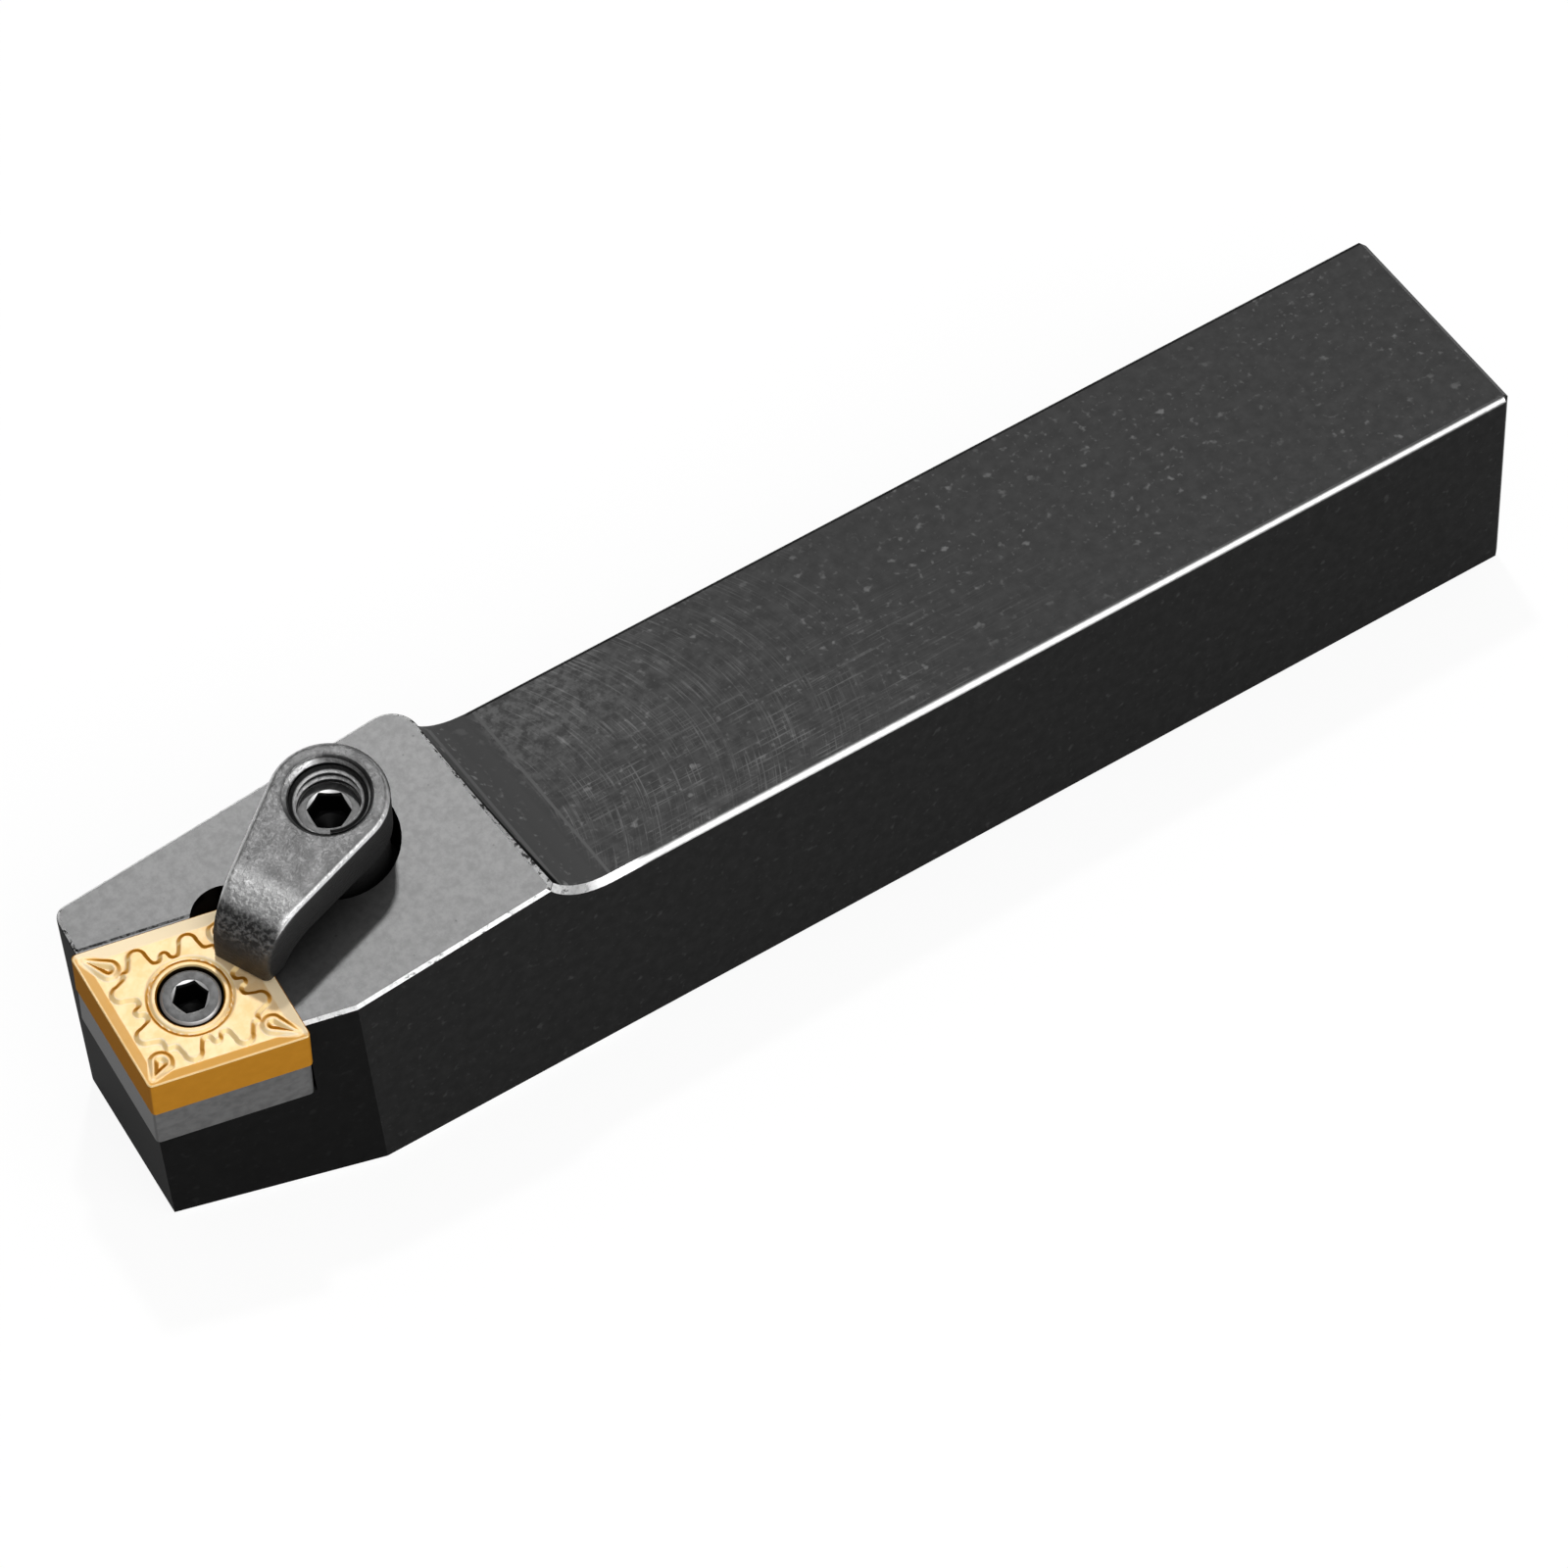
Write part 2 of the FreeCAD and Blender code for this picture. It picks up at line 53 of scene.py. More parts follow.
camera_target = Vector((-3.27, -4.61, 12.0)) * mm
camera_azimuth = math.radians(33.824)      # from +Y towards +X
camera_elevation = math.radians(51.756)
camera_roll = math.radians(-0.432)
camera_distance = 864.07 * mm
level_ahead = Vector((math.sin(camera_azimuth), math.cos(camera_azimuth), 0.0))
ahead = level_ahead * math.cos(camera_elevation) - Vector((0.0, 0.0, math.sin(camera_elevation)))
right = ahead.cross(Vector((0.0, 0.0, 1.0))).normalized()
upward = right.cross(ahead)
turned_right = right * math.cos(camera_roll) + upward * math.sin(camera_roll)
turned_up = upward * math.cos(camera_roll) - right * math.sin(camera_roll)
lens = bpy.data.cameras.new("camera")
lens.sensor_width = 36.0
lens.lens = 255.47
lens.clip_end = 20.0
camera = bpy.data.objects.new("camera", lens)
bpy.context.scene.collection.objects.link(camera)
turn = Matrix((turned_right, turned_up, -ahead)).transposed().to_4x4()
camera.matrix_world = Matrix.Translation(camera_target - ahead * camera_distance) @ turn
bpy.context.scene.camera = camera
bpy.context.scene.view_settings.view_transform = "Standard"

# Lights and floor. One small soft key light above the cutting end throws the clamp's shadow, a
# wide softbox in front brightens the chamfers, and the room is brightest overhead. The floor is
# white paper that glows by itself, apart from a small share that keeps the holder's shadow.


def add(tree, kind, inputs, **settings):
    """A shader node with its settings, and each input either linked or set."""
    made = tree.nodes.new("ShaderNode" + kind)
    for name, value in settings.items():
        setattr(made, name, value)
    for name, value in inputs.items():
        if isinstance(value, bpy.types.NodeSocket):
            tree.links.new(value, made.inputs[name])
        else:
            made.inputs[name].default_value = value
    return made


def number(tree, operation, first, second=0.0, third=0.0):
    return add(tree, "Math", {0: first, 1: second, 2: third}, operation=operation).outputs[0]


def ramp(tree, value, low, high, at_low=0.0, at_high=1.0):
    """A smooth step from one number to another between two values."""
    inputs = {"Value": value, "From Min": low, "From Max": high, "To Min": at_low, "To Max": at_high}
    return add(tree, "MapRange", inputs, interpolation_type="SMOOTHSTEP").outputs["Result"]


def softbox(name, towards, distance, width, height, radiance):
    """An area light that faces the middle of the holder."""
    lamp = bpy.data.lights.new(name, "AREA")
    lamp.shape = "RECTANGLE"
    lamp.size = width
    lamp.size_y = height
    lamp.energy = radiance * math.pi * width * height
    light = bpy.data.objects.new(name, lamp)
    bpy.context.scene.collection.objects.link(light)
    direction = Vector(towards).normalized()
    turn = direction.to_track_quat("Z", "Y").to_matrix().to_4x4()
    light.matrix_world = Matrix.Translation(camera_target + direction * distance) @ turn


softbox("key", towards=(0.13, 0.336, 0.933), distance=0.9, width=0.05, height=0.05, radiance=300.0)
softbox("front_softbox", towards=(0.35, -0.78, 0.52), distance=0.9, width=0.36, height=0.2, radiance=5.2)
softbox("camera_side", towards=(-0.22, -0.62, 0.75), distance=0.9, width=0.5, height=0.4, radiance=3.6)

zenith = 0.5
horizon = 0.08
world = bpy.data.worlds.new("studio")
world.use_nodes = True
bpy.context.scene.world = world
sky = world.node_tree
sky.nodes.clear()
direction = add(sky, "TexCoord", {}).outputs["Generated"]
height = add(sky, "SeparateXYZ", {"Vector": direction}).outputs["Z"]
strength = ramp(sky, height, 0.15, 0.95, horizon, zenith)
room = add(sky, "Background", {"Color": (1.0, 1.0, 1.0, 1.0), "Strength": strength})
white = add(sky, "Background", {"Color": (1.0, 1.0, 1.0, 1.0), "Strength": 1.0})
seen = add(sky, "LightPath", {}).outputs["Is Camera Ray"]
both = add(sky, "MixShader", {0: seen, 1: room.outputs[0], 2: white.outputs[0]})
add(sky, "OutputWorld", {"Surface": both.outputs[0]})

floor_size = 6.0
floor_drop = 0.05 * mm
sheet = bmesh.new()
bmesh.ops.create_grid(sheet, x_segments=1, y_segments=1, size=floor_size / 2.0)
bmesh.ops.translate(sheet, verts=sheet.verts, vec=(0.0, 0.0, -floor_drop))
mesh = bpy.data.meshes.new("floor")
sheet.to_mesh(mesh)
sheet.free()
floor = bpy.data.objects.new("floor", mesh)
bpy.context.scene.collection.objects.link(floor)
paper = bpy.data.materials.new("white_paper")
paper.use_nodes = True
tree = paper.node_tree
tree.nodes.clear()
glow = 1.06
glow_share = 0.85
glow_in_steel = 0.5
path = add(tree, "LightPath", {}).outputs
in_steel = number(tree, "MULTIPLY", path["Is Glossy Ray"], glow_in_steel)
shown = number(tree, "MAXIMUM", path["Is Camera Ray"], in_steel)
shown = number(tree, "MAXIMUM", shown, path["Is Transmission Ray"])
glowing = number(tree, "MULTIPLY", shown, glow_share)
lit = add(tree, "BsdfDiffuse", {"Color": (0.8, 0.8, 0.8, 1.0)})
bright = add(tree, "Emission", {"Color": (1.0, 1.0, 1.0, 1.0), "Strength": glow})
surface = add(tree, "MixShader", {0: glowing, 1: lit.outputs[0], 2: bright.outputs[0]})
add(tree, "OutputMaterial", {"Surface": surface.outputs[0]})
mesh.materials.append(paper)

# Holder body. One bar of tool steel, milled all over and blackened. The head's top was finished
# afterwards and shows bare satin steel, and the black has worn off the long edges and flaked off
# the rim of the head. A painted highlight runs along the long top chamfers, and painted shade
# darkens the sides.
screw_joint = next(joint for joint in frame["joints"] if joint["name"] == "clamp_screw_turn")
seat_up = Vector(screw_joint["axis"]).normalized()
insert_thickness = 4.76 * mm
insert_low, insert_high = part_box("insert")
seat_centre = (insert_low + insert_high) / 2.0 + seat_up * insert_thickness / 2.0
insert_circle = 12.7
insert_proud = 0.55
lead_angle = math.radians(15.0)
main_edge = Vector((math.cos(lead_angle), -math.sin(lead_angle), 0.0))
main_edge.z = -main_edge.dot(seat_up) / seat_up.z
main_edge.normalize()
seat_across = seat_up.cross(main_edge)
seat_turn = Matrix((main_edge, seat_across, seat_up)).transposed().to_4x4()
shank_height = 20.0


def start_finish(name):
    """A new material with its tree, its shader, positions in millimetres and normals."""
    finish = bpy.data.materials.new(name)
    finish.use_nodes = True
    tree = finish.node_tree
    tree.nodes.clear()
    shader = add(tree, "BsdfPrincipled", {})
    add(tree, "OutputMaterial", {"Surface": shader.outputs[0]})
    place = add(tree, "TexCoord", {}).outputs
    scaled = add(tree, "VectorMath", {0: place["Object"], "Scale": 1.0 / mm}, operation="SCALE")
    return finish, tree, shader, scaled.outputs[0], place["Normal"]


def dress(node, finish):
    """Give a piece of the frame its finish."""
    materials = frame["nodes"][node].data.materials
    materials.clear()
    materials.append(finish)


def along(tree, vector, direction):
    """How far a vector reaches along a direction."""
    reached = add(tree, "VectorMath", {0: vector, 1: tuple(direction)}, operation="DOT_PRODUCT")
    return reached.outputs["Value"]


def beyond(tree, place, direction, point):
    """How far positions lie past a point, along a direction, in millimetres."""
    return number(tree, "SUBTRACT", along(tree, place, direction), direction.dot(point) / mm)


def noise(tree, place, scale, detail=3.0, roughness=0.55):
    settings = {"Vector": place, "Scale": scale, "Detail": detail, "Roughness": roughness}
    return add(tree, "TexNoise", settings).outputs["Fac"]


def stretched(tree, place, amounts):
    """Positions stretched by a different amount along each axis."""
    return add(tree, "VectorMath", {0: place, 1: amounts}, operation="MULTIPLY").outputs["Vector"]


def specks(tree, place, per_mm, size, share):
    """Small round specks: 1 at the middle of each, on a share of the cells."""
    cells = add(tree, "TexVoronoi", {"Vector": place, "Scale": per_mm}).outputs
    chance = add(tree, "SeparateColor", {"Color": cells["Color"]}).outputs["Red"]
    spot = ramp(tree, cells["Distance"], size * 0.3, size, 1.0, 0.0)
    return number(tree, "MULTIPLY", spot, number(tree, "LESS_THAN", chance, share))


def blend(tree, factor, first, second):
    """A colour between two colours."""
    mix = add(tree, "Mix", {0: factor, 6: first, 7: second}, data_type="RGBA")
    return mix.outputs[2]


def grey(value):
    return (value, value, value, 1.0)


def falling(tree, value, low, high):
    """A smooth step from 1 down to 0 between two values."""
    return ramp(tree, value, low, high, 1.0, 0.0)


def near(tree, value, centre, reach):
    """1 where a value lies close to a centre, falling to 0 at its reach."""
    gap = number(tree, "ABSOLUTE", number(tree, "SUBTRACT", value, centre))
    return falling(tree, gap, reach * 0.5, reach)


def product(tree, *factors):
    result = factors[0]
    for factor in factors[1:]:
        result = number(tree, "MULTIPLY", result, factor)
    return result


def highest(tree, *values):
    result = values[0]
    for value in values[1:]:
        result = number(tree, "MAXIMUM", result, value)
    return result


steel, tree, shader, place, facing = start_finish("blackened_steel")

# Where a point lies, and which way its face looks
seat_height = beyond(tree, place, seat_up, seat_centre)
lengthways_at = along(tree, place, (1.0, 0.0, 0.0))
across_at = along(tree, place, (0.0, 1.0, 0.0))
height_at = along(tree, place, (0.0, 0.0, 1.0))
faces_x = along(tree, facing, (1.0, 0.0, 0.0))
faces_z = along(tree, facing, (0.0, 0.0, 1.0))
faces_seat_up = along(tree, facing, seat_up)
endways = number(tree, "ABSOLUTE", faces_x)
sideways = number(tree, "ABSOLUTE", along(tree, facing, (0.0, 1.0, 0.0)))
upright = number(tree, "ABSOLUTE", faces_z)
head_top = product(tree, ramp(tree, faces_seat_up, 0.995, 0.999), ramp(tree, seat_height, -1.0, -0.8))
off_head_top = falling(tree, faces_seat_up, 0.95, 0.99)

# The chamfers, and the rim of the head, which is bare where the black has flaked off it
slope = math.sqrt(0.5)
long_chamfer = product(tree, near(tree, sideways, slope, 0.12), ramp(tree, upright, 0.05, 0.25))
steepest = number(tree, "MAXIMUM", sideways, upright)
end_chamfer = product(tree, near(tree, endways, slope, 0.05), near(tree, steepest, slope, 0.05))
rim_low = -insert_proud - 0.27
rim = product(tree, ramp(tree, seat_height, rim_low + 0.05, rim_low + 0.1),
              ramp(tree, faces_seat_up, 0.3, 0.5), off_head_top)
below_rim = product(tree, near(tree, seat_height, rim_low - 0.3, 0.6),
                    ramp(tree, faces_x, 0.05, 0.2), off_head_top)
flaked = ramp(tree, noise(tree, place, 1.8, 5.0, 0.7), 0.42, 0.52)
flaked_head = ramp(tree, noise(tree, place, 1.3, 5.0, 0.7), 0.32, 0.46)
flaked_long = number(tree, "MAXIMUM", ramp(tree, lengthways_at, -26.0, -24.0), flaked_head)
bare_edge = highest(tree, product(tree, long_chamfer, flaked_long), product(tree, rim, flaked))

# The shank's top: light flecks all over, the cutter's curved marks and a mottled patch behind the
# head, and scratches along the near edge
runout_end = -22.7
on_top = ramp(tree, faces_z, 0.99, 0.999)
mottle = noise(tree, place, 0.9, 5.0, 0.6)
behind_head = falling(tree, lengthways_at, -12.0, 14.0)
across_squared = number(tree, "MULTIPLY", across_at, across_at)
arc_at = number(tree, "MULTIPLY_ADD", across_squared, 0.03, lengthways_at)
curved = add(tree, "CombineXYZ", {"X": arc_at, "Y": across_at}).outputs[0]
cutter_marks = noise(tree, stretched(tree, curved, (5.0, 0.13, 1.0)), 1.0, 3.0, 0.65)
cutter_marks = product(tree, ramp(tree, cutter_marks, 0.5, 0.66), behind_head)
drawn_marks = noise(tree, stretched(tree, place, (0.12, 5.0, 1.0)), 1.0, 3.0, 0.65)
drawn_marks = product(tree, ramp(tree, drawn_marks, 0.52, 0.66),
                      falling(tree, across_at, -5.0, 6.0), falling(tree, lengthways_at, -6.0, 30.0))
patches = ramp(tree, noise(tree, place, 0.35, 4.0, 0.6), 0.4, 0.6)
scratches = product(tree, highest(tree, cutter_marks, drawn_marks),
                    number(tree, "MULTIPLY_ADD", patches, 0.85, 0.15))
large_flecks = ramp(tree, noise(tree, place, 1.0, 2.0, 0.5), 0.62, 0.76)
fine_flecks = ramp(tree, noise(tree, place, 2.0, 2.0, 0.5), 0.6, 0.76)
flecks = highest(tree, large_flecks, number(tree, "MULTIPLY", fine_flecks, 0.6))
cloud = ramp(tree, noise(tree, place, 0.12, 3.0), 0.35, 0.65)
rough_patch = product(tree, falling(tree, lengthways_at, -18.0, -5.0), ramp(tree, across_at, -2.0, 6.0),
                      ramp(tree, noise(tree, place, 1.1, 6.0, 0.7), 0.42, 0.6))
lightening = product(tree, flecks, number(tree, "MULTIPLY_ADD", cloud, 0.36, 0.18))
lightening = number(tree, "MULTIPLY_ADD", scratches, 0.42, lightening)
lightening = number(tree, "MULTIPLY_ADD", behind_head, 0.05, lightening)
lightening = number(tree, "MULTIPLY_ADD", rough_patch, 0.24, lightening)
plain_black = blend(tree, ramp(tree, mottle, 0.3, 0.75), grey(0.049), grey(0.064))
mottled_black = blend(tree, ramp(tree, mottle, 0.34, 0.66), grey(0.04), grey(0.067))
top_black = blend(tree, behind_head, plain_black, mottled_black)
top_black = blend(tree, lightening, top_black, grey(0.26))
top_black = blend(tree, near(tree, lengthways_at, runout_end + 0.1, 0.17), top_black, grey(0.11))

# The run-out, which is smoother and has its flecks high up, by the head
on_runout = product(tree, near(tree, lengthways_at, runout_end - 3.2, 4.0),
                    ramp(tree, faces_x, 0.03, 0.1), ramp(tree, faces_z, 0.1, 0.2))
high_up = ramp(tree, lengthways_at, runout_end - 2.9, runout_end - 2.3, 0.5, 0.1)
runout_black = blend(tree, ramp(tree, lengthways_at, runout_end - 3.2, runout_end - 2.6),
                     grey(0.072), grey(0.066))
runout_black = blend(tree, product(tree, flecks, high_up), runout_black, grey(0.3))

# The sides, with painted shade that makes them darker than the top and darkest on the relief faces
# towards the cutting end
relief_shade = falling(tree, faces_x, -0.35, -0.15)
shaded_side_black = blend(tree, ramp(tree, mottle, 0.3, 0.75), grey(0.015), grey(0.022))
shaded_side_black = blend(tree, number(tree, "MULTIPLY", flecks, 0.12), shaded_side_black, grey(0.2))
shaded_side_black = blend(tree, relief_shade, shaded_side_black, grey(0.001))
black = blend(tree, on_top, shaded_side_black, top_black)
black = blend(tree, on_runout, black, runout_black)
black = blend(tree, end_chamfer, black, grey(0.12))
black = blend(tree, below_rim, black, grey(0.004))

# The head's top: satin steel with small dark nicks, and a line of painted shade along the pocket's wall, by
# the insert
grinding = ramp(tree, noise(tree, place, 1.3, 8.0, 0.75), 0.35, 0.65)
satin = blend(tree, grinding, grey(0.098), grey(0.122))
nicks = specks(tree, place, 0.7, 0.09, 0.35)
satin = blend(tree, number(tree, "MULTIPLY", nicks, 0.6), satin, grey(0.05))
behind_insert = beyond(tree, place, seat_across, seat_centre)
beside_insert = beyond(tree, place, main_edge, seat_centre)
pocket_shade_line = product(tree, near(tree, behind_insert, insert_circle / 2.0 + 0.5, 0.16),
                      near(tree, beside_insert, -3.0, 7.5),
                      ramp(tree, noise(tree, place, 3.0, 4.0), 0.35, 0.55, 0.5, 1.0))
satin = blend(tree, pocket_shade_line, satin, grey(0.012))

# The bare worn edges. A painted highlight runs down the middle of the shank's top chamfers,
# narrowing towards the back end and fading to dark grey towards their sides
bare_steel_and_highlight = blend(tree, ramp(tree, noise(tree, place, 2.5, 3.0), 0.3, 0.6), grey(0.8), grey(1.0))
over_edge = number(tree, "SUBTRACT", height_at, number(tree, "ABSOLUTE", across_at))
off_middle = number(tree, "SUBTRACT", over_edge, shank_height / 2.0 - 0.08)
highlight_reach = ramp(tree, lengthways_at, -15.0, 60.0, 0.56, 0.4)
highlight_falloff = number(tree, "DIVIDE", number(tree, "ABSOLUTE", off_middle), highlight_reach)
highlight_falloff = product(tree, ramp(tree, highlight_falloff, 0.1, 0.95), ramp(tree, lengthways_at, -21.0, -19.0))
bare_steel_and_highlight = blend(tree, highlight_falloff, bare_steel_and_highlight, grey(0.07))

colour = blend(tree, bare_edge, blend(tree, head_top, black, satin), bare_steel_and_highlight)
bare = number(tree, "MAXIMUM", head_top, bare_edge)
tree.links.new(colour, shader.inputs["Base Color"])
tree.links.new(bare, shader.inputs["Metallic"])
tree.links.new(ramp(tree, bare, 0.0, 1.0, 0.55, 0.42), shader.inputs["Roughness"])
shader.inputs["Specular IOR Level"].default_value = 0.03
grain = noise(tree, place, 6.0, 5.0)
grain = add(tree, "Bump", {"Height": grain, "Strength": 0.06, "Distance": 0.02 * mm})
tree.links.new(grain.outputs[0], shader.inputs["Normal"])
dress("holder_body", steel)

# Shim. A flat plate of cemented carbide between the insert and the pocket's floor, ground on its
# sides and held down by the collar of the lock pin.
carbide, tree, shader, place, facing = start_finish("ground_carbide")
wear = ramp(tree, noise(tree, place, 1.2, 5.0), 0.3, 0.7)
ground = blend(tree, wear, grey(0.10), grey(0.15))
# Painted shade on the faces that look towards the cutting end
shade_towards_end = ramp(tree, along(tree, facing, (-1.0, 0.0, 0.0)), 0.6, 0.9)
tree.links.new(blend(tree, shade_towards_end, ground, grey(0.05)), shader.inputs["Base Color"])
shader.inputs["Metallic"].default_value = 0.6
shader.inputs["Roughness"].default_value = 0.5
dress("shim", carbide)

# Insert. Pressed and sintered carbide with a satin gold coating, deeper in colour on its ground
# sides, partly their own colour and partly painted shade. Both faces have the same pressed chip
# breaker, so the insert can be turned over.
seat = Matrix.Translation(seat_centre) @ seat_turn @ Matrix.Scale(mm, 4)
insert_angle = math.radians(80.0)


def rhombus(circle):
    """Corners of the insert's rhombus round a circle, the cutting corner first, in millimetres."""
    half = circle / 2.0
    long = half / math.sin(insert_angle)
    skew = half / math.tan(insert_angle)
    return np.array([(skew - long, -half), (skew + long, -half), (long - skew, half), (-skew - long, half)])


def outline_gap(points, corners):
    """Distance of points from a closed outline, negative inside it."""
    gap = np.full(len(points), np.inf)
    inside = np.zeros(len(points), bool)
    for start, end in zip(corners, np.roll(corners, -1, axis=0)):
        side = end - start
        offset = points - start
        share = np.clip(offset @ side / (side @ side), 0.0, 1.0)
        gap = np.minimum(gap, np.linalg.norm(offset - share[:, None] * side, axis=1))
        level = points[:, 1]
        crosses = (start[1] > level) != (end[1] > level)
        rise = side[1] if side[1] else 1.0
        inside ^= crosses & (points[:, 0] < start[0] + (level - start[1]) * side[0] / rise)
    return np.where(inside, -gap, gap)


def bar_gap(points, tip, root, tip_radius, root_radius):
    """Distance of points from a round-ended bar that widens from its tip to its root."""
    side = root - tip
    share = np.clip((points - tip) @ side / (side @ side), 0.0, 1.0)
    axis_gap = np.linalg.norm(points - tip - share[:, None] * side, axis=1)
    return axis_gap - tip_radius - (root_radius - tip_radius) * share


def soft_minimum(first, second, reach):
    """The lower of two distances, rounded over where they are close to each other."""
    share = np.clip(0.5 + 0.5 * (second - first) / reach, 0.0, 1.0)
    return second + (first - second) * share - reach * share * (1.0 - share)


insert_corner_radius = 0.4
corner_core = rhombus(insert_circle - 2.0 * insert_corner_radius)


def inside_gap(points):
    """Distance of points from the insert's rounded outline, negative inside it."""
    return outline_gap(points, corner_core) - insert_corner_radius


# The plateau, and the bars that reach out from it towards every edge: two lobes with a tooth
# between them, each as tip, root and their radii
corners = rhombus(insert_circle)
plateau_inset = 2.9
plateau = rhombus(insert_circle - 2.0 * plateau_inset)
lobe_from_narrow = 4.75
lobe_from_wide = 4.1
lobe_inset, lobe_tip_radius, lobe_root_radius = 1.35, 0.5, 1.1
tooth_inset, tooth_tip_radius, tooth_root_radius = 2.25, 0.15, 0.4
bars = []
for narrow in (1, 3):
    for wide in (0, 2):
        edge = corners[wide] - corners[narrow]
        edge_length = np.linalg.norm(edge)
        edge /= edge_length
        inwards = np.array([-edge[1], edge[0]])
        inwards *= -np.sign(inwards @ corners[narrow])
        second = edge_length - lobe_from_wide
        middle = (lobe_from_narrow + second) / 2.0
        for distance, inset, tip_radius, root_radius in (
                (lobe_from_narrow, lobe_inset, lobe_tip_radius, lobe_root_radius),
                (second, lobe_inset, lobe_tip_radius, lobe_root_radius),
                (middle, tooth_inset, tooth_tip_radius, tooth_root_radius)):
            foot = corners[narrow] + edge * distance
            tip = foot + inwards * (inset + tip_radius)
            root = foot + inwards * (plateau_inset + root_radius / 2.0)
            bars.append((tip, root, tip_radius, root_radius))

# A drop in every corner, as start, length and radius of the narrow corners' and the wide ones'
narrow_drop = (1.05, 2.75, 0.62)
wide_drop = (0.85, 2.2, 0.72)
drop_tip_radius = 0.12
drops = []
for index, corner in enumerate(corners):
    start, length, radius = narrow_drop if index % 2 else wide_drop
    inwards = -corner / np.linalg.norm(corner)
    tip = corner + inwards * (start + drop_tip_radius)
    drops.append((tip, corner + inwards * (start + length - radius), drop_tip_radius, radius))

# Behind the cutting edges the face slopes down to a floor, from which the plateau, the bars and
# the drops rise. Each drop has a pit inside its rim, and a fine groove runs round the bore.
edge_land = 0.1
floor_run = 0.85
floor_depth = 0.24
wall_run = 0.36
bar_blend = 0.3
drop_low = 0.05
drop_rim = 0.16
pit_depth = 0.26
pit_slope = 0.7
groove_radius = 3.2
groove_width = 0.16
groove_depth = 0.15


def chip_breaker(points):
    """Height of the pressed face, below the plane that the insert rests on."""
    height = -floor_depth * np.clip((-inside_gap(points) - edge_land) / floor_run, 0.0, 1.0)
    raised = outline_gap(points, plateau)
    for bar in bars:
        raised = soft_minimum(raised, bar_gap(points, *bar), bar_blend)
    height = height * np.clip(raised / wall_run, 0.0, 1.0)
    for drop in drops:
        gap = bar_gap(points, *drop)
        lift = np.maximum(height, -drop_low) - height
        height = height + lift * np.clip(1.0 - gap / wall_run, 0.0, 1.0)
        height = height - np.clip(-(gap + drop_rim) * pit_slope, 0.0, pit_depth)
    radius = np.linalg.norm(points, axis=1)
    return height - groove_depth * np.exp(-((radius - groove_radius) / groove_width) ** 2)


def grown(mesh, loop, moved):
    """Extrude an open loop of edges and move the new vertices; the new loop of edges."""
    made = bmesh.ops.extrude_edge_only(mesh, edges=loop)["geom"]
    vertices = [part for part in made if isinstance(part, bmesh.types.BMVert)]
    for vertex in vertices:
        vertex.co = moved(vertex.co)
    fresh = set(vertices)
    return [part for part in made if isinstance(part, bmesh.types.BMEdge) and set(part.verts) <= fresh]


def ring(size, height):
    """Moves points to a radius and a height, each of them a number or worked out from the turn."""
    def moved(point):
        turn = math.atan2(point.y, point.x)
        radius = size(turn) if callable(size) else size
        level = height(turn) if callable(height) else height
        return Vector((radius * math.cos(turn), radius * math.sin(turn), level))
    return moved


def put_in_place(name, mesh, place, finish):
    """A new piece from a mesh in millimetres, moved to its place in the frame."""
    bmesh.ops.transform(mesh, matrix=place, verts=mesh.verts)
    data = bpy.data.meshes.new(name)
    mesh.to_mesh(data)
    mesh.free()
    data.materials.append(finish)
    piece = bpy.data.objects.new(name, data)
    bpy.context.scene.collection.objects.link(piece)
    return piece


def stand_in(name, mesh, place, finish, body, node):
    """A modelled piece that replaces a node of the frame and rides on its body."""
    piece = put_in_place(name, mesh, place, finish)
    piece.data.shade_smooth()
    piece.data.set_sharp_from_angle(angle=math.radians(35.0))
    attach(piece, body)
    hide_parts(node)


# One pressed face, from a circle round the bore out to the edge, then turned over for the other
insert_bore = 5.16
bore_rounding = 0.12
edge_rounding = 0.07
around = 720
rings = 52
angles = np.arange(around) * 2.0 * math.pi / around
rays = np.stack([np.cos(angles), np.sin(angles)], axis=1)
reach = np.full(around, insert_circle / 2.0)
for round_of_search in range(24):
    reach = reach - inside_gap(rays * reach[:, None])


def outline_reach(turn):
    return reach[round(turn / (2.0 * math.pi) * around) % around]


pressed = bmesh.new()
bmesh.ops.create_circle(pressed, cap_ends=False, radius=insert_bore / 2.0 + bore_rounding, segments=around)
bore_loop = list(pressed.edges)
rim_loop = grown(pressed, bore_loop, ring(outline_reach, 0.0))
kept = set(bore_loop) | set(rim_loop)
spokes = [edge for edge in pressed.edges if edge not in kept]
bmesh.ops.subdivide_edges(pressed, edges=spokes, cuts=rings, use_grid_fill=True)
surface = np.array([vertex.co[:2] for vertex in pressed.verts])
for vertex, level in zip(pressed.verts, chip_breaker(surface)):
    vertex.co.z = level
wall_loop = grown(pressed, rim_loop, ring(outline_reach, -edge_rounding))
inner_share = 1.0 - 2.0 * edge_rounding / insert_circle
bmesh.ops.scale(pressed, verts=list({vertex for edge in rim_loop for vertex in edge.verts}),
                vec=(inner_share, inner_share, 1.0))
half_way = -insert_thickness / mm / 2.0
grown(pressed, wall_loop, ring(outline_reach, half_way))
bore_loop = grown(pressed, bore_loop, ring(insert_bore / 2.0, -bore_rounding))
grown(pressed, bore_loop, ring(insert_bore / 2.0, half_way))
whole = list(pressed.verts) + list(pressed.edges) + list(pressed.faces)
other = bmesh.ops.duplicate(pressed, geom=whole)["geom"]
turned_over = [part for part in other if isinstance(part, bmesh.types.BMVert)]
bmesh.ops.scale(pressed, verts=turned_over, vec=(1.0, 1.0, -1.0))
